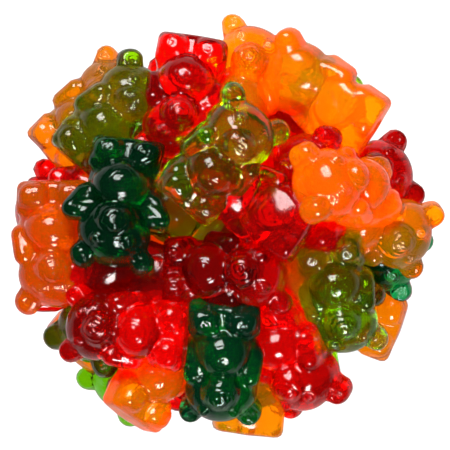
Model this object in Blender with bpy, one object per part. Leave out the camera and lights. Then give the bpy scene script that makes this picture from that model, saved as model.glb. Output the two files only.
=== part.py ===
"""A small round bowl heaped with gummy bears.

Two solids: the turned bowl, and the heap of gummies, which is one solid out to its uneven outline.
The origin is the centre of the bowl's flat foot, and +Z is up.
"""
import bpy
import bmesh
import numpy as np
from math import cos, pi, radians, sin
from mathutils import Matrix

MM = 0.001

# The bowl, in millimetres
FOOT_RADIUS = 15.0
FOOT_HEIGHT = 1.4
RIM_RADIUS = 28.0
RIM_HEIGHT = 22.0
WALL = 2.6
FLOOR = 3.4
CURVE_STEPS = 6
SEGMENTS = 36

# One gummy bear, in millimetres: X across, Y from the soles to the ears, Z out of its back
HEAD = ((0.0, 15.9, 3.3), (6.0, 5.3, 5.1))
HEAD_BACK = 2.0
MUZZLE = ((0.0, 14.5, 6.6), (3.3, 3.1, 3.2))
EAR = ((4.85, 20.0, 2.8), (2.15, 2.15, 2.4))
BELLY = ((0.0, 8.3, 3.9), (4.75, 4.5, 5.1))
TRUNK = ((0.0, 7.6, 1.8), (5.5, 7.5, 3.9))
TRUNK_BACK = 1.2
FOOT = ((3.05, 2.75, 3.0), (2.7, 2.6, 3.9))
SHOULDER = (5.2, 8.9, 3.6)
HAND_IN = (4.6, 12.3, 5.2)
HAND_OUT = (7.2, 13.0, 4.8)
ARM_RADIUS = 1.65
SEAT = ((0.0, 3.1, 2.6), (5.9, 3.1, 2.6))
MIDDLE = np.array((0.0, 11.0, 4.5))

# The same bear as balls, which are what may touch: x, y, z and radius
BALLS = np.array([
    (0, 16.0, 3.6, 4.7), (0, 14.8, 6.8, 2.7), (4.6, 20.0, 2.5, 1.9), (-4.6, 20.0, 2.5, 1.9),
    (0, 8.0, 4.3, 4.5), (0, 19.0, 2.4, 2.2),
    (3.5, 2.4, 2.4, 2.3), (-3.5, 2.4, 2.4, 2.3), (3.4, 2.2, 5.5, 2.3), (-3.4, 2.2, 5.5, 2.3),
    (5.0, 10.2, 2.2, 1.9), (-5.0, 10.2, 2.2, 1.9), (4.0, 11.6, 5.0, 1.6), (-4.0, 11.6, 5.0, 1.6),
    (3.8, 6.2, 1.9, 1.8), (-3.8, 6.2, 1.9, 1.8), (3.6, 13.4, 1.9, 1.8), (-3.6, 13.4, 1.9, 1.8),
])

# The heap: a dome over the rim, and a rounded filling under the bears
DOME_RADIUS = 39.0
DOME_HEIGHT = 30.0
FILL_RADIUS = 26.5
FILL_TOP = 41.0
FILL_GAP = 1.2
BED_BASE = 15.0
BED_RISE = 9.0
BED_RADIUS = 30.0
OVERHANG = 2.0
SETTLE_ROUNDS = 120
VOXEL = 0.75
HEAP_TRIANGLES = 8400
CLEARANCE = 0.8

# Where each bear lies: depth under the dome, x, y, heading of its head, pitch, roll, arms spread
PLACES = [
    # round the rim, under the others
    (22, -5, 20, 170, 0, 180, 0),
    (22, -19, 15, 130, 0, 0, 0),
    (22, -27, 0, 95, 0, 180, 0),
    (22, -20.5, -14, 50, 0, 10, 0),
    (22, -9, -24.5, 165, 0, 170, 0),
    (22, 9, -24.5, 200, 0, 0, 0),
    (22, 23.5, -1, 85, 0, 0, 0),
    # the low ones that show between
    (15, -23.6, 19.4, 42, 0, 0, 0),
    (20, 12.5, 19.5, 55, -5, 0, 0),
    (16, 17, -8.5, -50, 0, 180, 0),
    (14, -28.5, -3, 95, 0, 90, 0),
    (15, -20.5, -13.5, 240, 0, 0, 0),
    (17, -14, -23, 225, 0, 0, 0),
    (16, -18.5, 8, 200, 0, 180, 0),
    (14, 23.9, -4.2, -17, -10, 0, 0),
    (18, 22, 7.4, 22, -10, 0, 0),
    (16, 4.5, -25, 80, 0, 180, 0),
    (19, 19.8, -14.1, 157, 0, 0, 0),
    (14, 3.6, 24.4, 66, -5, 0, 0),
    (20, 7, 18, -60, 0, 180, 1),
    # the middle ones
    (9, -5, 1, 150, 0, 180, 0),
    (17, 12.5, -5, 250, 0, 180, 0),
    (10, -15.5, -8.8, 146, 0, 180, 0),
    (11, -17.2, -17.2, 173, -15, 0, 0),
    (14, 13.4, 5.6, 96, 0, -40, 0),
    (10, 25, -0.6, -23, -15, 22, 0),
    (5, 21, 6.8, 174, 54, 24, 0),
    (4, 16.8, 22.8, 149, -18, 158, 0),
    (5, -7.5, 21.8, -100, 12, 0, 0),
    (5, -18.6, 18.6, 45, 0, 8, 0),
    (5, -29, -3.4, -91, 0, 0, 0),
    (8, -10.8, -23.5, 70, -20, 48, 0),
    (6, 9.8, -22.3, -60, -20, 40, 0),
    (4, 18.6, -12.0, -74, -12, 5, 0),
    (5, -0.4, -23.4, -90, -20, 0, 0),
    # the ones on top
    (1, 5.4, 3.8, 154, 0, 180, 0),
    (3, -18, 4.1, -97, 12, 0, 1),
    (3, -0.4, -7.6, -6, 12, 0, 0),
    (-8, -0.4, 11, 50, 5, 20, 0),
]


def material(name, colour, roughness):
    made = bpy.data.materials.new(name)
    made.use_nodes = True
    shader = made.node_tree.nodes["Principled BSDF"]
    shader.inputs["Base Color"].default_value = (*colour, 1.0)
    shader.inputs["Roughness"].default_value = roughness
    shader.inputs["Metallic"].default_value = 0.0
    return made


def as_object(name, bm):
    """A new object from a bmesh, scaled from millimetres to metres"""
    bmesh.ops.scale(bm, vec=(MM, MM, MM), verts=bm.verts)
    mesh = bpy.data.meshes.new(name)
    bm.to_mesh(mesh)
    bm.free()
    made = bpy.data.objects.new(name, mesh)
    bpy.context.collection.objects.link(made)
    return made


def turned(profile):
    """A closed solid of revolution; the profile runs from the axis under it to the axis on top"""
    bm = bmesh.new()
    verts = [bm.verts.new((r, 0.0, z)) for r, z in profile]
    edges = [bm.edges.new(pair) for pair in zip(verts, verts[1:])]
    bmesh.ops.spin(bm, geom=verts + edges, cent=(0, 0, 0), axis=(0, 0, 1), angle=2 * pi,
                   steps=SEGMENTS, use_duplicate=False)
    bmesh.ops.remove_doubles(bm, verts=bm.verts, dist=0.001)
    bmesh.ops.recalc_face_normals(bm, faces=bm.faces)
    return bm


def wall_curve(inset, low):
    """Points up the bowl's wall, a quarter ellipse from the floor to the rim"""
    points = []
    for step in range(CURVE_STEPS + 1):
        angle = step / CURVE_STEPS * pi / 2
        across = FOOT_RADIUS + (RIM_RADIUS + WALL / 2 - FOOT_RADIUS) * sin(angle)
        points.append((across - inset, low + (RIM_HEIGHT - low) * (1 - cos(angle))))
    return points


def rim_curve(radius, grow):
    """Half circle over the rim, from the outer side to the inner one"""
    top = []
    for step in range(1, 4):
        angle = step / 4 * pi
        top.append((radius + (WALL / 2 + grow) * cos(angle), RIM_HEIGHT + (WALL / 2 + grow) * sin(angle)))
    return top


def bowl_profile(grow=0.0):
    """Foot, outer wall, rim, inner wall and floor; grow thickens it all round"""
    foot = [(0.0, -grow), (FOOT_RADIUS + grow, -grow)]
    outer = wall_curve(-grow, FOOT_HEIGHT)
    inner = wall_curve(WALL + grow, FLOOR + grow)
    return foot + outer + rim_curve(RIM_RADIUS, grow) + inner[::-1] + [(0.0, FLOOR + grow)]


def filling_profile():
    """The packed gummies under the visible ones: the bowl's inside, then a dome"""
    inside = [(0.0, FLOOR + FILL_GAP)] + wall_curve(WALL + FILL_GAP, FLOOR + FILL_GAP)
    dome = []
    for step in range(1, CURVE_STEPS + 1):
        angle = step / CURVE_STEPS * pi / 2
        dome.append((FILL_RADIUS * cos(angle), RIM_HEIGHT + (FILL_TOP - RIM_HEIGHT) * sin(angle)))
    return inside + dome


def turn(heading, pitch, roll):
    """Rolled about its length, pitched by the head, then headed; angles in degrees"""
    h, p, r = radians(heading - 90), radians(pitch), radians(roll)
    about_z = np.array([[cos(h), -sin(h), 0], [sin(h), cos(h), 0], [0, 0, 1]])
    about_x = np.array([[1, 0, 0], [0, cos(p), -sin(p)], [0, sin(p), cos(p)]])
    about_y = np.array([[cos(r), 0, sin(r)], [0, 1, 0], [-sin(r), 0, cos(r)]])
    return about_z @ about_x @ about_y


def settle(places):
    """Lay the bears as a packed heap: each starts at its place, and balls that overlap push apart

    In each round every ball moves half its overlap away from the balls it meets, off the rim and off
    the bed, which outside the bowl is just under the rim; the nearest rigid move of each bear's balls
    is taken, and the bear sinks a little.
    """
    home = np.array([turn(*place[3:6]) for place in places])
    over = np.array([place[1:3] for place in places], float)
    dome = np.sqrt(1 - (np.hypot(*over.T) / DOME_RADIUS) ** 2)
    height = RIM_HEIGHT + DOME_HEIGHT * dome - np.array([place[0] for place in places])
    spot = np.column_stack((over, np.maximum(height, RIM_HEIGHT + 3)))
    facing = home.copy()
    local = BALLS[:, :3] - MIDDLE
    heart = local.mean(0)
    radius = np.tile(BALLS[:, 3], len(places))
    owner = np.repeat(np.arange(len(places)), len(local))
    apart = owner[:, None] != owner[None]
    reach = radius[:, None] + radius[None]
    for _ in range(SETTLE_ROUNDS):
        at = (np.einsum("bij,kj->bki", facing, local) + spot[:, None]).reshape(-1, 3)
        between = at[:, None] - at[None]
        gap = np.sqrt((between**2).sum(-1)) + 1e-9
        overlap = np.where(apart & (gap < reach), reach - gap, 0)
        meets = np.maximum((overlap > 0).sum(1), 1)
        push = (between * (overlap / gap)[..., None] * 0.5).sum(1) / np.sqrt(meets)[:, None]
        out = np.maximum(np.hypot(at[:, 0], at[:, 1]), 1e-9)
        inward = 1 - RIM_RADIUS / out
        rim = np.column_stack((at[:, 0] * inward, at[:, 1] * inward, at[:, 2] - RIM_HEIGHT))
        clear = np.linalg.norm(rim, axis=1) + 1e-9
        push += rim * (np.maximum(radius + WALL / 2 + CLEARANCE - clear, 0) / clear)[:, None]
        bed = BED_BASE + BED_RISE * np.sqrt(np.maximum(1 - (out / BED_RADIUS) ** 2, 0))
        bed = np.where(out < RIM_RADIUS, bed, RIM_HEIGHT - OVERHANG)
        push[:, 2] += np.maximum(bed + radius - at[:, 2], 0)
        old = at.reshape(len(places), -1, 3)
        new = (at + push).reshape(len(places), -1, 3)
        spread = np.einsum("bki,kj->bij", new - new.mean(1)[:, None], local - heart) + 24 * home
        left, _, right = np.linalg.svd(spread)
        left[:, :, 2] *= np.linalg.det(left @ right)[:, None]
        centre = spot + facing @ heart + (new.mean(1) - old.mean(1)) * 1.6
        facing = left @ right
        spot = centre - facing @ heart
        spot[:, :2] += (over - spot[:, :2]) * 0.25
        spot[:, 2] -= 0.1
    return spot, facing


def add_ball(bm, centre, radii, side=1, back=0.0):
    """An ellipsoid cast from the back: below its middle it goes straight down to Z = 0, or swells past it"""
    for vert in bmesh.ops.create_icosphere(bm, subdivisions=2, radius=1.0)["verts"]:
        x, y, z = vert.co
        height = centre[2] + radii[2] * z if z > -0.05 else -back * z * z
        vert.co = (side * centre[0] + radii[0] * x, max(centre[1] + radii[1] * y, 0.0), height)


def bear(arms_spread):
    """One bear as overlapping castings, which the heap melts into one skin"""
    bm = bmesh.new()
    seat = bmesh.ops.create_cube(bm, size=2.0)["verts"]
    bmesh.ops.scale(bm, vec=SEAT[1], verts=seat)
    bmesh.ops.translate(bm, vec=SEAT[0], verts=seat)
    add_ball(bm, *HEAD, back=HEAD_BACK)
    add_ball(bm, *TRUNK, back=TRUNK_BACK)
    add_ball(bm, *MUZZLE)
    add_ball(bm, *BELLY)
    hand = np.array(HAND_OUT if arms_spread else HAND_IN)
    shoulder = np.array(SHOULDER)
    for side in (-1, 1):
        add_ball(bm, *EAR, side)
        add_ball(bm, *FOOT, side)
        for along in (0.0, 0.33, 0.67, 1.0):
            add_ball(bm, shoulder + (hand - shoulder) * along, (ARM_RADIUS,) * 3, side)
    return bm


def with_modifiers(made):
    """The object's mesh as its modifiers leave it, and the modifiers gone"""
    shape = bpy.data.meshes.new_from_object(made.evaluated_get(bpy.context.evaluated_depsgraph_get()))
    made.modifiers.clear()
    made.data = shape


def keep_outer_skin(made):
    """Delete every closed shell but the largest, such as a bubble between two bears"""
    bm = bmesh.new()
    bm.from_mesh(made.data)
    left = set(bm.verts)
    shells = []
    while left:
        shell = set()
        edge = {left.pop()}
        while edge:
            shell |= edge
            edge = {e.other_vert(v) for v in edge for e in v.link_edges} - shell
        left -= shell
        shells.append(shell)
    shells.sort(key=len)
    for shell in shells[:-1]:
        bmesh.ops.delete(bm, geom=list(shell), context="VERTS")
    bm.to_mesh(made.data)
    bm.free()


def make_heap():
    """Every bear at its place and the filling under them, melted into one skin and cut by the bowl"""
    kinds = []
    for arms_spread in (0, 1):
        one = bear(arms_spread)
        mesh = bpy.data.meshes.new("one_bear")
        one.to_mesh(mesh)
        one.free()
        kinds.append(mesh)
    spots, facings = settle(PLACES)
    bm = turned(filling_profile())
    for place, spot, facing in zip(PLACES, spots, facings):
        laid = kinds[place[6]].copy()
        move = Matrix(facing.tolist()).to_4x4()
        move.translation = spot - facing @ MIDDLE
        laid.transform(move)
        bm.from_mesh(laid)
        bpy.data.meshes.remove(laid)
    for mesh in kinds:
        bpy.data.meshes.remove(mesh)
    heap = as_object("bear_heap", bm)
    skin = heap.modifiers.new("one skin", "REMESH")
    skin.mode = "VOXEL"
    skin.voxel_size = VOXEL * MM
    with_modifiers(heap)
    keep_outer_skin(heap)
    cutter = as_object("bowl_clearance", turned(bowl_profile(CLEARANCE)))
    cutter.hide_render = True
    cutter.display_type = "WIRE"
    cut = heap.modifiers.new("round the bowl", "BOOLEAN")
    cut.operation = "DIFFERENCE"
    cut.solver = "EXACT"
    cut.object = cutter
    with_modifiers(heap)
    keep_outer_skin(heap)
    fewer = heap.modifiers.new("fewer faces", "DECIMATE")
    fewer.ratio = HEAP_TRIANGLES / sum(len(face.vertices) - 2 for face in heap.data.polygons)
    heap.data.materials.clear()
    heap.data.materials.append(material("gummy", (0.72, 0.05, 0.01), 0.2))
    return heap


def make_bowl():
    bowl = as_object("bowl", turned(bowl_profile()))
    bowl.data.shade_smooth()
    bowl.data.set_sharp_from_angle(angle=radians(40))
    bowl.data.materials.append(material("glazed_white", (0.86, 0.85, 0.83), 0.18))
    return bowl


for old in list(bpy.data.objects):
    bpy.data.objects.remove(old)
make_bowl()
make_heap()
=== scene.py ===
"""A small white bowl, heaped over its rim with clear gummy bears in red, orange, lime and green."""
import bpy
import numpy as np
from math import cos, pi, radians, sin
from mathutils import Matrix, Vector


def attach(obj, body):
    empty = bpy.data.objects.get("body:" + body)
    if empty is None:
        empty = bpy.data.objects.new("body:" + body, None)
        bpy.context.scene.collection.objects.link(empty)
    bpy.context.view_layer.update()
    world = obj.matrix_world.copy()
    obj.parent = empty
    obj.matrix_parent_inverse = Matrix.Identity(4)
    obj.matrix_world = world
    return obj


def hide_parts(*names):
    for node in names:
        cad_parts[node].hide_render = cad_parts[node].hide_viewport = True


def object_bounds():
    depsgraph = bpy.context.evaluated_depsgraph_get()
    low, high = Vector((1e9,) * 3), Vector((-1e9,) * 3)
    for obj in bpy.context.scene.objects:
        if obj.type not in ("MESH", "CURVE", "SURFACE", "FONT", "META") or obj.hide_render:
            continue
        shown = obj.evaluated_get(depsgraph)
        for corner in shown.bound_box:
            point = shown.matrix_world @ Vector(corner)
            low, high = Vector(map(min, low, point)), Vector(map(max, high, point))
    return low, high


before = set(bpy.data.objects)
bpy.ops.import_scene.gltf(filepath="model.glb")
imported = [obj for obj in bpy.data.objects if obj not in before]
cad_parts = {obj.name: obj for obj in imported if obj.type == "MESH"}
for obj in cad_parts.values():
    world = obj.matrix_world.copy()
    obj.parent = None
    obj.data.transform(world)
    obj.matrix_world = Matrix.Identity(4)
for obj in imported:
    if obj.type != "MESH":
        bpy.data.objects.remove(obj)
cad_low, cad_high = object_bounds()

# ------------------------------------------------------------------------------ the table and studio
# The bowl stands on a plain pale tabletop, under two soft boxes, one beyond it and one nearer, so
# that each rounded bear has a soft highlight on both sides of its top.


def daylight():
    """A faint, slightly cool sky, so that the gaps between the bears don't go black"""
    world = bpy.data.worlds.new("studio")
    bpy.context.scene.world = world
    world.use_nodes = True
    sky = world.node_tree.nodes["Background"]
    sky.inputs["Color"].default_value = (0.95, 0.97, 1.0, 1.0)
    sky.inputs["Strength"].default_value = 0.04


def soft_box(name, place, size, power):
    """A square lamp at a place, facing the middle of the heap"""
    lamp = bpy.data.lights.new(name, "AREA")
    lamp.shape = "RECTANGLE"
    lamp.size, lamp.size_y = size
    lamp.energy = power
    lamp.color = (1.0, 0.985, 0.97)
    box = bpy.data.objects.new(name, lamp)
    box.location = place
    middle = (cad_low + cad_high) / 2
    box.rotation_euler = (middle - box.location).to_track_quat("-Z", "Y").to_euler()
    bpy.context.collection.objects.link(box)


def tabletop():
    """A white matt sheet that glows a little, as if lit from behind, but hardly shines in the jelly"""
    reach = 1.6
    mesh = bpy.data.meshes.new("tabletop")
    corners = [(-reach, -reach), (reach, -reach), (reach, reach), (-reach, reach)]
    mesh.from_pydata([(x, y, cad_low.z) for x, y in corners], [], [(0, 1, 2, 3)])
    top = bpy.data.objects.new("tabletop", mesh)
    bpy.context.collection.objects.link(top)
    paint = bpy.data.materials.new("pale_tabletop")
    paint.use_nodes = True
    nodes, links = paint.node_tree.nodes, paint.node_tree.links
    shader = nodes["Principled BSDF"]
    shader.inputs["Base Color"].default_value = (0.32, 0.32, 0.32, 1.0)
    shader.inputs["Emission Color"].default_value = (1.0, 1.0, 1.0, 1.0)
    where = nodes.new("ShaderNodeTexCoord")
    grain = nodes.new("ShaderNodeTexNoise")
    grain.inputs["Scale"].default_value = 60.0
    spread = nodes.new("ShaderNodeMapRange")
    spread.inputs["To Min"].default_value = 0.55
    spread.inputs["To Max"].default_value = 0.65
    links.new(where.outputs["Object"], grain.inputs["Vector"])
    links.new(grain.outputs["Fac"], spread.inputs["Value"])
    links.new(spread.outputs["Result"], shader.inputs["Roughness"])
    ray = nodes.new("ShaderNodeLightPath")
    glow = nodes.new("ShaderNodeMapRange")
    glow.inputs["To Min"].default_value = 0.75
    glow.inputs["To Max"].default_value = 0.12
    mirrored = nodes.new("ShaderNodeMath")
    mirrored.operation = "SUBTRACT"
    mirrored.use_clamp = True
    links.new(ray.outputs["Is Glossy Ray"], mirrored.inputs[0])
    links.new(ray.outputs["Is Transmission Ray"], mirrored.inputs[1])
    links.new(mirrored.outputs["Value"], glow.inputs["Value"])
    links.new(glow.outputs["Result"], shader.inputs["Emission Strength"])
    mesh.materials.append(paint)


daylight()
soft_box("soft_box_beyond", (-0.12, 0.32, 0.42), (0.26, 0.26), 4.1)
soft_box("soft_box_near", (0.06, -0.33, 0.42), (0.16, 0.16), 2.7)
tabletop()

eye = bpy.data.cameras.new("straight_down")
eye.lens = 176.0
eye.sensor_width = 36.0
eye.clip_end = 20.0
eye.shift_x = -0.0022
eye.shift_y = 0.0022
camera = bpy.data.objects.new("straight_down", eye)
camera.location = (0.0, 0.0, 0.413)
bpy.context.collection.objects.link(camera)
bpy.context.scene.camera = camera
bpy.context.scene.view_settings.view_transform = "Standard"


# ------------------------------------------------------------------------------------------ the bowl
# A thrown porcelain bowl with a rounded rim, clear-glazed all over but for the bare ring of its foot.
# It is fired standing on that ring.

# Millimetres, which MM turns into metres
MM = 0.001
FOOT_RADIUS = 15.0
FOOT_HEIGHT = 1.4
RIM_RADIUS = 28.0
RIM_HEIGHT = 22.0
WALL = 2.6
FLOOR = 3.4


def new_piece(name, points, faces):
    """A mesh piece from an array of points in metres and an array of faces"""
    mesh = bpy.data.meshes.new(name)
    mesh.vertices.add(len(points))
    mesh.vertices.foreach_set("co", np.asarray(points, np.float32).ravel())
    mesh.loops.add(faces.size)
    mesh.loops.foreach_set("vertex_index", faces.astype(np.int32).ravel())
    mesh.polygons.add(len(faces))
    mesh.polygons.foreach_set("loop_start", np.arange(0, faces.size, faces.shape[1], dtype=np.int32))
    mesh.update(calc_edges=True)
    mesh.validate()
    mesh.shade_smooth()
    piece = bpy.data.objects.new(name, mesh)
    bpy.context.collection.objects.link(piece)
    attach(piece, "root")
    return piece


def ringed_faces(rings, sides):
    """Triangles over rings of points, one ring after the other, closed by a last pair of points that cap
    the first ring and the last one"""
    row, side = np.meshgrid(np.arange(rings - 1), np.arange(sides), indexing="ij")
    after = (side + 1) % sides
    quads = np.stack((row * sides + side, row * sides + after,
                      (row + 1) * sides + after, (row + 1) * sides + side), -1).reshape(-1, 4)
    around = np.arange(sides)
    top_ring = (rings - 1) * sides
    low = np.stack((np.full(sides, rings * sides), (around + 1) % sides, around), -1)
    high = np.stack((np.full(sides, rings * sides + 1), top_ring + around,
                     top_ring + (around + 1) % sides), -1)
    return np.concatenate((quads[:, [0, 1, 2]], quads[:, [0, 2, 3]], low, high))


def bowl_section():
    """Radius and height round the bowl's wall: a bare foot ring with a shallow recess, a quarter ellipse
    up the outside, a half circle over the rim, and a quarter ellipse down to the floor inside"""
    quarter = np.linspace(0, pi / 2, 22)
    rise = 1 - np.cos(quarter)
    across = FOOT_RADIUS + (RIM_RADIUS + WALL / 2 - FOOT_RADIUS) * np.sin(quarter)
    foot = np.array([(9.0, 0.9), (11.6, 0.85), (12.3, 0.5), (12.7, 0.1), (13.2, 0.0), (14.4, 0.0),
                     (14.85, 0.12), (FOOT_RADIUS, 0.5), (FOOT_RADIUS, 0.95)])
    outer = np.column_stack((across, FOOT_HEIGHT + (RIM_HEIGHT - FOOT_HEIGHT) * rise))
    over = np.linspace(0, pi, 11)[1:-1]
    rim = np.column_stack((RIM_RADIUS + WALL / 2 * np.cos(over), RIM_HEIGHT + WALL / 2 * np.sin(over)))
    inner = np.column_stack((across - WALL, FLOOR + (RIM_HEIGHT - FLOOR) * rise))[::-1]
    return np.vstack((foot, outer, rim, inner, [(6.0, FLOOR)]))


def turned_skin(section, sides):
    """The section carried once round the Z axis, closed by a point on the axis at each end"""
    angle = np.linspace(0, 2 * pi, sides, endpoint=False)
    ring = np.stack((np.cos(angle), np.sin(angle)), 1)
    points = np.concatenate((section[:, None, :1] * ring[None],
                             np.broadcast_to(section[:, None, 1:], (len(section), sides, 1))), 2)
    ends = np.array([(0, 0, section[0, 1]), (0, 0, section[-1, 1])])
    return np.concatenate((points.reshape(-1, 3), ends)) * MM, ringed_faces(len(section), sides)


def porcelain():
    """Clear glaze over white clay, faintly clouded; below the glaze line the foot is bare and rough"""
    made = bpy.data.materials.new("glazed_porcelain")
    made.use_nodes = True
    nodes, links = made.node_tree.nodes, made.node_tree.links
    shader = nodes["Principled BSDF"]
    shader.inputs["IOR"].default_value = 1.5
    shader.inputs["Coat Weight"].default_value = 0.6
    shader.inputs["Coat Roughness"].default_value = 0.06
    where = nodes.new("ShaderNodeTexCoord")
    height = nodes.new("ShaderNodeSeparateXYZ")
    links.new(where.outputs["Object"], height.inputs["Vector"])
    bare = nodes.new("ShaderNodeMapRange")
    bare.inputs["From Min"].default_value = 0.5 * MM
    bare.inputs["From Max"].default_value = 0.9 * MM
    links.new(height.outputs["Z"], bare.inputs["Value"])
    cloud = nodes.new("ShaderNodeTexNoise")
    cloud.inputs["Scale"].default_value = 140.0
    links.new(where.outputs["Object"], cloud.inputs["Vector"])
    glaze = nodes.new("ShaderNodeMix")
    glaze.data_type = "RGBA"
    glaze.inputs["A"].default_value = (0.84, 0.84, 0.81, 1.0)
    glaze.inputs["B"].default_value = (0.90, 0.90, 0.88, 1.0)
    links.new(cloud.outputs["Fac"], glaze.inputs["Factor"])
    colour = nodes.new("ShaderNodeMix")
    colour.data_type = "RGBA"
    colour.inputs["A"].default_value = (0.70, 0.67, 0.62, 1.0)
    links.new(bare.outputs["Result"], colour.inputs["Factor"])
    links.new(glaze.outputs["Result"], colour.inputs["B"])
    links.new(colour.outputs["Result"], shader.inputs["Base Color"])
    rough = nodes.new("ShaderNodeMapRange")
    rough.inputs["To Min"].default_value = 0.7
    rough.inputs["To Max"].default_value = 0.12
    links.new(bare.outputs["Result"], rough.inputs["Value"])
    links.new(rough.outputs["Result"], shader.inputs["Roughness"])
    orange_peel = nodes.new("ShaderNodeBump")
    orange_peel.inputs["Strength"].default_value = 0.15
    orange_peel.inputs["Distance"].default_value = 0.2 * MM
    links.new(cloud.outputs["Fac"], orange_peel.inputs["Height"])
    links.new(orange_peel.outputs["Normal"], shader.inputs["Normal"])
    return made


bowl = new_piece("bowl_porcelain", *turned_skin(bowl_section(), 128))
bowl.data.materials.append(porcelain())
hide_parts("bowl")


# ----------------------------------------------------------------------------------- one gummy bear
# Each bear is poured into a starch mould, so its back and soles are flat and all else is rounded: a
# round head with a muzzle, ringed eyes and dished ears, a round belly, folded arms and two short legs.


def ball(points, centre, radii):
    """Distance outside an ellipsoid that is cast straight down to the back below its middle"""
    away = points - np.array(centre, float)
    away[:, 2] = np.maximum(away[:, 2], 0)
    size = np.array(radii, float) * np.ones(3)
    near = np.linalg.norm(away / size, axis=1)
    slope = np.linalg.norm(away / size**2, axis=1)
    return near * (near - 1.0) / np.maximum(slope, 1e-9)


def limb(points, start, end, start_radius, end_radius):
    """Distance outside a tapered limb with round ends, cast straight down to the back"""
    start, end = np.array(start, float), np.array(end, float)
    away, along = points - start, end - start
    lifted = np.maximum(away[:, 2], 0)
    part = np.clip((away[:, :2] @ along[:2] + lifted * along[2]) / (along @ along), 0, 1)
    away = away - part[:, None] * along
    away[:, 2] = np.maximum(away[:, 2], 0)
    return np.linalg.norm(away, axis=1) - (start_radius + (end_radius - start_radius) * part)


def block(points, centre, half, corner):
    """Distance outside a box with rounded corners"""
    away = np.abs(points - np.array(centre)) - (np.array(half) - corner)
    return np.linalg.norm(np.maximum(away, 0), axis=1) + np.minimum(away.max(1), 0) - corner


def melt(one, other, width):
    """Two shapes joined, with a fillet as wide as width"""
    share = np.clip(0.5 + 0.5 * (other - one) / width, 0, 1)
    return other + (one - other) * share - width * share * (1 - share)


def trim(one, other, width):
    """What is inside both shapes, with its edge rounded over width"""
    return -melt(-one, -other, width)


def pad(points, centre, radii):
    """How deep inside an ellipse in X and Y: 1 at its middle, falling to 0 at its edge"""
    away = (points[:, :2] - np.array(centre)) / np.array(radii)
    return np.maximum(1 - (away**2).sum(1), 0)


def bear_skin(points, spread):
    """Distance outside the bear in millimetres: X across, Y from the soles to the ears, Z off its back.
    spread 0 holds the arms at its sides and 1 holds them out"""
    p = np.column_stack((np.abs(points[:, 0]), points[:, 1:]))
    # the trunk, the seat, the belly and the feet
    skin = ball(p, (0, 7.6, 1.8), (5.5, 7.5, 3.9))
    skin = melt(skin, block(p, (0, 3.1, 2.1), (5.95, 3.1, 3.1), 1.5), 0.8)
    skin = melt(skin, ball(p, (0, 8.3, 3.9), (4.75, 4.5, 5.1)), 0.3)
    skin = melt(skin, block(p, (3.05, 2.75, 3.0), (2.5, 2.25, 3.8), 1.9), 0.35)
    # the arms
    shoulder = (5.2 + 0.4 * spread, 8.9 + 1.2 * spread, 3.6)
    hand = (4.6 + 2.6 * spread, 12.3 + 0.7 * spread, 5.2 - 0.4 * spread)
    skin = melt(skin, limb(p, shoulder, hand, 1.6, 1.7), 0.4)
    # the head, the muzzle, the dished ears, the nose and the eyes
    skin = melt(skin, ball(p, (0, 15.9, 3.3), (6.0, 5.3, 5.1)), 0.35)
    skin = melt(skin, ball(p, (0, 14.5, 6.6), (3.3, 3.1, 3.2)), 0.2)
    skin = melt(skin, ball(p, (4.85, 20.0, 2.8), (2.15, 2.15, 2.4)), 0.3)
    ear_dish = 1.45 - np.linalg.norm(p - np.array((5.0, 20.3, 5.8)), axis=1)
    skin = trim(skin, ear_dish, 0.4)
    skin = melt(skin, ball(p, (0, 15.4, 9.3), (1.1, 0.85, 0.75)), 0.2)
    skin = melt(skin, ball(p, (2.5, 17.8, 7.15), (1.05, 1.05, 0.95)), 0.2)
    # the back, which swells behind the head and the seat, and the flat soles
    swell = np.maximum(2.4 * pad(p, (0, 16.2), (6.3, 5.7)), 1.4 * pad(p, (0, 5.2), (7.0, 6.8)))
    skin = trim(skin, -p[:, 2] - swell, 1.8)
    return trim(skin, -p[:, 1], 0.7)


def all_round(steps):
    """Directions over a sphere from a cube's six faces, even in angle, and the quads between them"""
    slope = np.tan(np.linspace(-pi / 4, pi / 4, steps + 1))
    across, up = np.meshgrid(slope, slope, indexing="ij")
    flat = np.stack((across.ravel(), up.ravel(), np.ones(across.size)), 1)
    faces = []
    for axis in range(3):
        for side in (1, -1):
            face = np.roll(flat * (side, 1, 1), axis, axis=1)
            face[:, (axis + 2) % 3] *= side
            faces.append(face)
    rays = np.concatenate(faces)
    row, column = np.meshgrid(np.arange(steps), np.arange(steps), indexing="ij")
    corner = (row * (steps + 1) + column).ravel()
    one = np.stack((corner, corner + steps + 1, corner + steps + 2, corner + 1), 1)
    quads = np.concatenate([one + face * len(flat) for face in range(6)])
    _, first, same = np.unique(np.round(rays, 6), axis=0, return_index=True, return_inverse=True)
    rays, quads = rays[first], same.ravel()[quads]
    rays /= np.linalg.norm(rays, axis=1)[:, None]
    return rays, quads


def one_bear(steps, spread):
    """The skin where it meets each ray from a spine up the bear's middle, found by stepping inwards"""
    rays, quads = all_round(steps)
    middle, half_spine, depth = 9.8, 6.0, 2.6
    spine = np.zeros_like(rays)
    spine[:, 1] = middle + half_spine * rays[:, 1] * (1.5 - 0.5 * rays[:, 1] ** 2)
    spine[:, 2] = depth
    well_outside, rounds, share_of_way = 14.0, 60, 0.8
    reach = np.full(len(rays), well_outside)
    for _ in range(rounds):
        reach -= share_of_way * bear_skin(spine + reach[:, None] * rays, spread)
    return spine + reach[:, None] * rays, quads


# ---------------------------------------------------------------------------------------- the heap
# The bears are tipped into the bowl until they stand well over its rim, and lie at all angles, some
# face up and some on their bellies. They are tacky, so those on the outside stay where they lodge.

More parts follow.
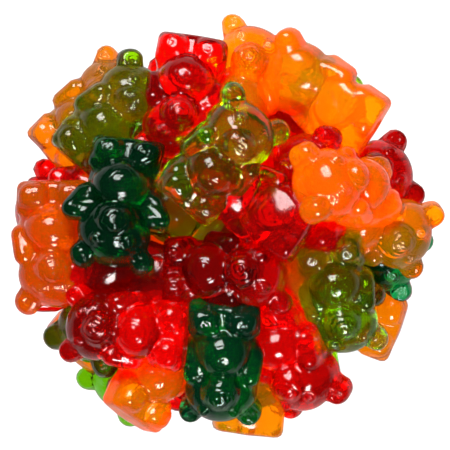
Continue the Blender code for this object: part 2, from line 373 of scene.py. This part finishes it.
DOME_RADIUS = 39.0
DOME_HEIGHT = 30.0
BED_BASE = 15.0
BED_RISE = 9.0
BED_RADIUS = 30.0
OVERHANG = 2.0
SETTLE_ROUNDS = 120
CLEARANCE = 0.8
KEEPS_FACING = 24
PUSHED_ON = 1.6
PULLED_HOME = 0.25
SINKS = 0.1
HALF_LENGTH = 11.0
MIDDLE = np.array((0.0, HALF_LENGTH, 4.5))

# One bear as balls, which are what may touch: x, y, z and radius
BALLS = np.array([
    (0, 16.0, 3.6, 4.7), (0, 14.8, 6.8, 2.7), (4.6, 20.0, 2.5, 1.9), (-4.6, 20.0, 2.5, 1.9),
    (0, 8.0, 4.3, 4.5), (0, 19.0, 2.4, 2.2),
    (3.5, 2.4, 2.4, 2.3), (-3.5, 2.4, 2.4, 2.3), (3.4, 2.2, 5.5, 2.3), (-3.4, 2.2, 5.5, 2.3),
    (5.0, 10.2, 2.2, 1.9), (-5.0, 10.2, 2.2, 1.9), (4.0, 11.6, 5.0, 1.6), (-4.0, 11.6, 5.0, 1.6),
    (3.8, 6.2, 1.9, 1.8), (-3.8, 6.2, 1.9, 1.8), (3.6, 13.4, 1.9, 1.8), (-3.6, 13.4, 1.9, 1.8),
])

# Where each bear starts: depth under the dome, x, y, heading of its head, pitch, roll, arms spread
PLACES = [
    # round the rim, under the others
    (22, -5, 20, 170, 0, 180, 0),
    (22, -19, 15, 130, 0, 0, 0),
    (22, -27, 0, 95, 0, 180, 0),
    (22, -20.5, -14, 50, 0, 10, 0),
    (22, -9, -24.5, 165, 0, 170, 0),
    (22, 9, -24.5, 200, 0, 0, 0),
    (22, 23.5, -1, 85, 0, 0, 0),
    # the low ones that show between
    (15, -23.6, 19.4, 42, 0, 0, 0),
    (20, 12.5, 19.5, 55, -5, 0, 0),
    (16, 17, -8.5, -50, 0, 180, 0),
    (14, -28.5, -3, 95, 0, 90, 0),
    (15, -20.5, -13.5, 240, 0, 0, 0),
    (17, -14, -23, 225, 0, 0, 0),
    (16, -18.5, 8, 200, 0, 180, 0),
    (14, 23.9, -4.2, -17, -10, 0, 0),
    (18, 22, 7.4, 22, -10, 0, 0),
    (16, 4.5, -25, 80, 0, 180, 0),
    (19, 19.8, -14.1, 157, 0, 0, 0),
    (14, 3.6, 24.4, 66, -5, 0, 0),
    (20, 7, 18, -60, 0, 180, 1),
    # the middle ones
    (9, -5, 1, 150, 0, 180, 0),
    (17, 12.5, -5, 250, 0, 180, 0),
    (10, -15.5, -8.8, 146, 0, 180, 0),
    (11, -17.2, -17.2, 173, -15, 0, 0),
    (14, 13.4, 5.6, 96, 0, -40, 0),
    (10, 25, -0.6, -23, -15, 22, 0),
    (5, 21, 6.8, 174, 54, 24, 0),
    (4, 16.8, 22.8, 149, -18, 158, 0),
    (5, -7.5, 21.8, -100, 12, 0, 0),
    (5, -18.6, 18.6, 45, 0, 8, 0),
    (5, -29, -3.4, -91, 0, 0, 0),
    (8, -10.8, -23.5, 70, -20, 48, 0),
    (6, 9.8, -22.3, -60, -20, 40, 0),
    (4, 18.6, -12.0, -74, -12, 5, 0),
    (5, -0.4, -23.4, -90, -20, 0, 0),
    # the ones on top
    (1, 5.4, 3.8, 154, 0, 180, 0),
    (3, -18, 4.1, -97, 12, 0, 1),
    (3, -0.4, -7.6, -6, 12, 0, 0),
    (-8, -0.4, 11, 50, 5, 20, 0),
]

# What each bear is, one line for each group of places above
FLAVOURS = (
    "red lime red orange red lime red "
    "orange lime lime red lime lime red green red orange orange orange red "
    "lime orange red red red orange orange orange red lime orange orange red lime green "
    "red green red lime"
).split()

# How deep each bear's colour is, group by group: 0 is the palest of its flavour and 9 the deepest. The
# depths are partly the bears' own differences and partly painted shade, set deeper for bears that lie
# dark in the heap or over darker bears
COLOUR_DEPTH_AND_PAINTED_SHADE = "3333333" "4236982481312" "823000102461003" "4670"


def turn(heading, pitch, roll):
    """Rolled about its length, pitched by the head, then headed; angles in degrees"""
    h, p, r = radians(heading - 90), radians(pitch), radians(roll)
    about_z = np.array([[cos(h), -sin(h), 0], [sin(h), cos(h), 0], [0, 0, 1]])
    about_x = np.array([[1, 0, 0], [0, cos(p), -sin(p)], [0, sin(p), cos(p)]])
    about_y = np.array([[cos(r), 0, sin(r)], [0, 1, 0], [-sin(r), 0, cos(r)]])
    return about_z @ about_x @ about_y


def settle(places):
    """Lay the bears as a packed heap: each starts at its place, and balls that overlap push apart

    In each round every ball moves half its overlap away from the balls it meets, off the rim and off
    the bed, which outside the bowl is just under the rim. Each bear takes the rigid move nearest to its
    balls' moves and to its first facing, is drawn back over its place, and sinks a little.
    """
    home = np.array([turn(*place[3:6]) for place in places])
    over = np.array([place[1:3] for place in places], float)
    dome = np.sqrt(1 - (np.hypot(*over.T) / DOME_RADIUS) ** 2)
    height = RIM_HEIGHT + DOME_HEIGHT * dome - np.array([place[0] for place in places])
    spot = np.column_stack((over, np.maximum(height, RIM_HEIGHT + 3)))
    facing = home.copy()
    local = BALLS[:, :3] - MIDDLE
    heart = local.mean(0)
    radius = np.tile(BALLS[:, 3], len(places))
    owner = np.repeat(np.arange(len(places)), len(local))
    apart = owner[:, None] != owner[None]
    reach = radius[:, None] + radius[None]
    for _ in range(SETTLE_ROUNDS):
        at = (np.einsum("bij,kj->bki", facing, local) + spot[:, None]).reshape(-1, 3)
        between = at[:, None] - at[None]
        gap = np.sqrt((between**2).sum(-1)) + 1e-9
        overlap = np.where(apart & (gap < reach), reach - gap, 0)
        meets = np.maximum((overlap > 0).sum(1), 1)
        push = (between * (overlap / gap)[..., None] * 0.5).sum(1) / np.sqrt(meets)[:, None]
        out = np.maximum(np.hypot(at[:, 0], at[:, 1]), 1e-9)
        inward = 1 - RIM_RADIUS / out
        rim = np.column_stack((at[:, 0] * inward, at[:, 1] * inward, at[:, 2] - RIM_HEIGHT))
        clear = np.linalg.norm(rim, axis=1) + 1e-9
        push += rim * (np.maximum(radius + WALL / 2 + CLEARANCE - clear, 0) / clear)[:, None]
        bed = BED_BASE + BED_RISE * np.sqrt(np.maximum(1 - (out / BED_RADIUS) ** 2, 0))
        bed = np.where(out < RIM_RADIUS, bed, RIM_HEIGHT - OVERHANG)
        push[:, 2] += np.maximum(bed + radius - at[:, 2], 0)
        old = at.reshape(len(places), -1, 3)
        new = (at + push).reshape(len(places), -1, 3)
        swung = new - new.mean(1)[:, None]
        spread = np.einsum("bki,kj->bij", swung, local - heart) + KEEPS_FACING * home
        left, _, right = np.linalg.svd(spread)
        left[:, :, 2] *= np.linalg.det(left @ right)[:, None]
        centre = spot + facing @ heart + (new.mean(1) - old.mean(1)) * PUSHED_ON
        facing = left @ right
        spot = centre - facing @ heart
        spot[:, :2] += (over - spot[:, :2]) * PULLED_HOME
        spot[:, 2] -= SINKS
    return spot, facing


def detail(index):
    """Steps across a cube face: most for the bears on top, least for those under all the others"""
    for first, steps in ((35, 38), (20, 34), (7, 24)):
        if index >= first:
            return steps
    return 14


def poured(skin, chance):
    """A bear as it leaves the mould: a little larger or smaller, twisted along its length, bent and
    leant by the square of the way along it, and swollen here and there by five slow waves"""
    size = 1 + chance.uniform(-0.03, 0.035)
    bend, twist, lean = chance.normal(0, (0.35, 0.05, 0.25))
    along = (skin[:, 1] - HALF_LENGTH) / HALF_LENGTH
    angle = twist * along
    x = skin[:, 0] * np.cos(angle) + skin[:, 2] * np.sin(angle) + bend * along**2
    z = skin[:, 2] * np.cos(angle) - skin[:, 0] * np.sin(angle) + lean * along**2
    swell = np.zeros(len(skin))
    for _ in range(5):
        wave = chance.normal(0, 0.45, 3)
        swell += 0.05 * np.sin(skin @ wave + chance.uniform(0, 2 * pi))
    shape = np.column_stack((x, skin[:, 1], z)) - MIDDLE
    return shape * (size + swell / HALF_LENGTH)[:, None]


def lay_bears():
    """Each flavour's bears: points in metres, faces, mould coordinates and how deep the colour is, which
    is partly painted shade
    """
    spots, facings = settle(PLACES)
    moulds = {}
    laid = {flavour: [] for flavour in sorted(set(FLAVOURS))}
    chance = np.random.default_rng(12)
    for index, place in enumerate(PLACES):
        kind = (detail(index), place[6])
        if kind not in moulds:
            moulds[kind] = one_bear(*kind)
        skin, quads = moulds[kind]
        points = poured(skin, chance) @ facings[index].T + spots[index]
        # each bear's depth of colour, partly its own and partly painted shade, with a little random
        # spread
        tint = np.full(len(skin), int(COLOUR_DEPTH_AND_PAINTED_SHADE[index]) / 9 + chance.uniform(-0.04, 0.04))
        laid[FLAVOURS[index]].append((points * MM, quads, skin, tint))
    return laid


def join(bears):
    """One flavour's bears as a single mesh: points, faces, mould coordinates and tints"""
    start = np.cumsum([0] + [len(points) for points, *_ in bears[:-1]])
    faces = np.concatenate([quads + first for first, (_, quads, *_) in zip(start, bears)])
    return (np.concatenate([bear[0] for bear in bears]), faces,
            np.concatenate([bear[2] for bear in bears]), np.concatenate([bear[3] for bear in bears]))


# ------------------------------------------------------------------------------- the gummies' finish
# Clear set jelly with a thin wiped-on oil: it darkens with depth, shines softly, and carries the fine
# rings that the cut mould leaves on the muzzle, eyes, ears, belly and feet.

RINGS = (
    # across, along, how far out, ring to ring, lowest Z, weight
    (0.0, 14.7, 2.9, 0.80, 6.8, 1.0),
    (2.5, 17.8, 1.5, 0.62, 5.5, 1.0),
    (4.85, 20.1, 1.9, 0.75, 3.2, 0.8),
    (0.0, 8.2, 3.0, 0.95, 7.2, 0.45),
    (3.0, 2.8, 2.2, 0.85, 4.6, 0.6),
)


def mould_marks():
    """A node group: the height of the mould's rings and of the skin's faint unevenness, and a roughness.
    A set of rings is a cosine of the distance from its centre, made a little wavy and faded out at its
    edge and below its lowest Z"""
    group = bpy.data.node_groups.new("mould_marks", "ShaderNodeTree")
    group.interface.new_socket("Unevenness", in_out="INPUT", socket_type="NodeSocketFloat")
    group.interface.new_socket("Height", in_out="OUTPUT", socket_type="NodeSocketFloat")
    group.interface.new_socket("Roughness", in_out="OUTPUT", socket_type="NodeSocketFloat")
    nodes, links = group.nodes, group.links
    given = nodes.new("NodeGroupInput")
    out = nodes.new("NodeGroupOutput")
    mould = nodes.new("ShaderNodeAttribute")
    mould.attribute_name = "mould"
    own = nodes.new("ShaderNodeSeparateXYZ")
    links.new(mould.outputs["Vector"], own.inputs["Vector"])

    def maths(kind, one, other=None):
        """One sum in the group, of sockets or plain numbers"""
        step = nodes.new("ShaderNodeMath")
        step.operation = kind
        for socket, value in zip(step.inputs, (one, other)):
            if isinstance(value, (int, float)):
                socket.default_value = value
            elif value is not None:
                links.new(value, socket)
        return step.outputs[0]

    across = maths("ABSOLUTE", own.outputs["X"])
    where = nodes.new("ShaderNodeTexCoord")
    waver = nodes.new("ShaderNodeTexNoise")
    waver.inputs["Scale"].default_value = 700.0
    links.new(where.outputs["Object"], waver.inputs["Vector"])
    stray = maths("SUBTRACT", waver.outputs["Fac"], 0.5)
    height = None
    for x, y, out_to, pitch, low, weight in RINGS:
        dx = maths("SUBTRACT", across, x)
        dy = maths("SUBTRACT", own.outputs["Y"], y)
        away = maths("SQRT", maths("ADD", maths("MULTIPLY", dx, dx), maths("MULTIPLY", dy, dy)))
        away = maths("ADD", away, stray)
        wave = maths("COSINE", maths("MULTIPLY", away, 2 * pi / pitch))
        edge = maths("MULTIPLY", maths("SUBTRACT", out_to, away), 2.0 / pitch)
        raised = maths("MULTIPLY", maths("SUBTRACT", own.outputs["Z"], low), 1.2)
        fade = maths("MINIMUM", maths("MAXIMUM", maths("MINIMUM", edge, raised), 0.0), 1.0)
        ring = maths("MULTIPLY", maths("MULTIPLY", wave, fade), weight)
        height = ring if height is None else maths("ADD", height, ring)
    rumple = nodes.new("ShaderNodeTexNoise")
    rumple.inputs["Scale"].default_value = 420.0
    rumple.inputs["Detail"].default_value = 4.0
    rumple.inputs["Roughness"].default_value = 0.6
    links.new(where.outputs["Object"], rumple.inputs["Vector"])
    uneven = maths("MULTIPLY", rumple.outputs["Fac"], given.outputs["Unevenness"])
    links.new(maths("ADD", maths("MULTIPLY", height, 0.5), uneven), out.inputs["Height"])
    smear = nodes.new("ShaderNodeTexNoise")
    smear.inputs["Scale"].default_value = 150.0
    links.new(where.outputs["Object"], smear.inputs["Vector"])
    spread = nodes.new("ShaderNodeMapRange")
    spread.inputs["From Min"].default_value = 0.3
    spread.inputs["From Max"].default_value = 0.7
    spread.inputs["To Min"].default_value = 0.05
    spread.inputs["To Max"].default_value = 0.13
    links.new(smear.outputs["Fac"], spread.inputs["Value"])
    links.new(spread.outputs["Result"], out.inputs["Roughness"])
    return group


def jelly(name, clear, pale, full, absorbed, density, marks):
    """Clear jelly: a skin between a pale and a full tint, as each bear's depth of colour says, which is
    partly its own and partly painted shade, over a body that absorbs with depth. Lamps shine through it,
    tinted, as they do through real jelly"""
    made = bpy.data.materials.new(name)
    made.use_nodes = True
    nodes, links = made.node_tree.nodes, made.node_tree.links
    shader = nodes["Principled BSDF"]
    out = nodes["Material Output"]
    shader.inputs["IOR"].default_value = 1.4
    shader.inputs["Metallic"].default_value = 0.0
    shader.inputs["Transmission Weight"].default_value = clear
    bear = nodes.new("ShaderNodeAttribute")
    bear.attribute_name = "tint"
    tint = nodes.new("ShaderNodeMix")
    tint.data_type = "RGBA"
    tint.inputs["A"].default_value = (*pale, 1.0)
    tint.inputs["B"].default_value = (*full, 1.0)
    links.new(bear.outputs["Fac"], tint.inputs["Factor"])
    links.new(tint.outputs["Result"], shader.inputs["Base Color"])
    cast = nodes.new("ShaderNodeGroup")
    cast.node_tree = marks
    cast.inputs["Unevenness"].default_value = 1.2
    links.new(cast.outputs["Roughness"], shader.inputs["Roughness"])
    bump = nodes.new("ShaderNodeBump")
    bump.inputs["Strength"].default_value = 0.6
    bump.inputs["Distance"].default_value = 0.12 * MM
    links.new(cast.outputs["Height"], bump.inputs["Height"])
    links.new(bump.outputs["Normal"], shader.inputs["Normal"])
    let_through = nodes.new("ShaderNodeBsdfTransparent")
    let_through.inputs["Color"].default_value = (*pale, 1.0)
    ray = nodes.new("ShaderNodeLightPath")
    mix = nodes.new("ShaderNodeMixShader")
    links.new(ray.outputs["Is Shadow Ray"], mix.inputs[0])
    links.new(shader.outputs["BSDF"], mix.inputs[1])
    links.new(let_through.outputs["BSDF"], mix.inputs[2])
    links.new(mix.outputs["Shader"], out.inputs["Surface"])
    body = nodes.new("ShaderNodeVolumeAbsorption")
    body.inputs["Color"].default_value = (*absorbed, 1.0)
    body.inputs["Density"].default_value = density
    links.new(body.outputs["Volume"], out.inputs["Volume"])
    return made


marks = mould_marks()
JELLIES = {
    # how clear, the palest tint, the deepest tint, what the body lets through, and how strongly it tints
    "red": jelly("jelly_red", 0.92, (0.92, 0.004, 0.002), (0.30, 0.001, 0.001),
                 (0.975, 0.01, 0.01), 300.0, marks),
    "orange": jelly("jelly_orange", 0.78, (0.96, 0.38, 0.001), (0.50, 0.06, 0.001),
                    (0.985, 0.78, 0.01), 220.0, marks),
    "lime": jelly("jelly_lime", 0.985, (0.46, 0.76, 0.002), (0.10, 0.40, 0.001),
                  (0.88, 0.965, 0.02), 300.0, marks),
    "green": jelly("jelly_green", 0.97, (0.003, 0.55, 0.20), (0.001, 0.14, 0.04),
                   (0.02, 0.85, 0.60), 420.0, marks),
}

for flavour, bears in lay_bears().items():
    points, faces, mould, tint = join(bears)
    gummies = new_piece("gummies_" + flavour, points, faces)
    own = gummies.data.attributes.new("mould", "FLOAT_VECTOR", "POINT")
    own.data.foreach_set("vector", mould.astype(np.float32).ravel())
    each = gummies.data.attributes.new("tint", "FLOAT", "POINT")
    each.data.foreach_set("value", tint.astype(np.float32))
    gummies.data.materials.append(JELLIES[flavour])
    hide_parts("bear_heap")


# -------------------------------------------------------------------------- the gummies underneath
# The bowl is full under the bears that show. Those inside are pressed together into one lumpy mass of
# every flavour, which is only glimpsed through the clear bears and down the gaps between them.


def pressed_mass(rows, sides):
    """The bowl's inside under a low dome: radius and height follow one angle from the floor's middle to
    the top's, and lumps a bear's size swell the dome"""
    brim, floor_edge = 0.45, 0.05
    off_wall, clear, dome, lump = 1.2, 1.0, 9.0, 1.4
    part = np.linspace(0, 1, rows)[:, None] * np.ones(sides)
    angle = np.linspace(0, 2 * pi, sides, endpoint=False)[None] * np.ones((rows, 1))
    under = np.clip(part / brim, 0, 1) * pi / 2
    over = np.clip((part - brim) / (1 - brim), 0, 1) * pi / 2
    wall = FOOT_RADIUS + (RIM_RADIUS - WALL / 2 - off_wall - FOOT_RADIUS) * np.sin(under)
    flat = np.where(part < floor_edge, wall * part / floor_edge, wall)
    radius = np.where(part < brim, flat, wall * np.cos(over))
    height = FLOOR + clear + (RIM_HEIGHT - 2 * clear - FLOOR) * (1 - np.cos(under)) + dome * np.sin(over)
    x, y = radius * np.cos(angle), radius * np.sin(angle)
    lumps = np.sin(x * 0.42 + 1.0) * np.sin(y * 0.47 + 0.4)
    lumps += 0.5 * np.sin(x * 0.9) * np.cos(y * 0.8 + 2)
    height += lump * lumps * np.sin(over)
    points = np.stack((x, y, height), -1)[1:-1].reshape(-1, 3)
    ends = np.array([(0, 0, height[0, 0]), (0, 0, height[-1, 0])])
    return np.concatenate((points, ends)) * MM, ringed_faces(rows - 2, sides)


def pressed_jelly():
    """Cells a bear's size, each in one of the four flavours, with creases where they press together"""
    made = bpy.data.materials.new("pressed_jelly")
    made.use_nodes = True
    nodes, links = made.node_tree.nodes, made.node_tree.links
    shader = nodes["Principled BSDF"]
    shader.inputs["IOR"].default_value = 1.42
    shader.inputs["Roughness"].default_value = 0.25
    where = nodes.new("ShaderNodeTexCoord")
    cells = nodes.new("ShaderNodeTexVoronoi")
    cells.inputs["Scale"].default_value = 75.0
    links.new(where.outputs["Object"], cells.inputs["Vector"])
    pick = nodes.new("ShaderNodeSeparateColor")
    links.new(cells.outputs["Color"], pick.inputs["Color"])
    flavours = nodes.new("ShaderNodeValToRGB")
    flavours.color_ramp.interpolation = "CONSTANT"
    stops = ((0.0, (0.75, 0.01, 0.01)), (0.42, (0.95, 0.22, 0.01)), (0.68, (0.25, 0.40, 0.01)),
             (0.85, (0.01, 0.16, 0.08)))
    flavours.color_ramp.elements[1].position = stops[1][0]
    for place, _ in stops[2:]:
        flavours.color_ramp.elements.new(place)
    for element, (_, colour) in zip(flavours.color_ramp.elements, stops):
        element.color = (*colour, 1.0)
    links.new(pick.outputs["Red"], flavours.inputs["Fac"])
    links.new(flavours.outputs["Color"], shader.inputs["Base Color"])
    bump = nodes.new("ShaderNodeBump")
    bump.inputs["Distance"].default_value = 1.5 * MM
    links.new(cells.outputs["Distance"], bump.inputs["Height"])
    bump.invert = True
    links.new(bump.outputs["Normal"], shader.inputs["Normal"])
    return made


mass = new_piece("gummies_underneath", *pressed_mass(60, 96))
mass.data.materials.append(pressed_jelly())
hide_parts("bear_heap")
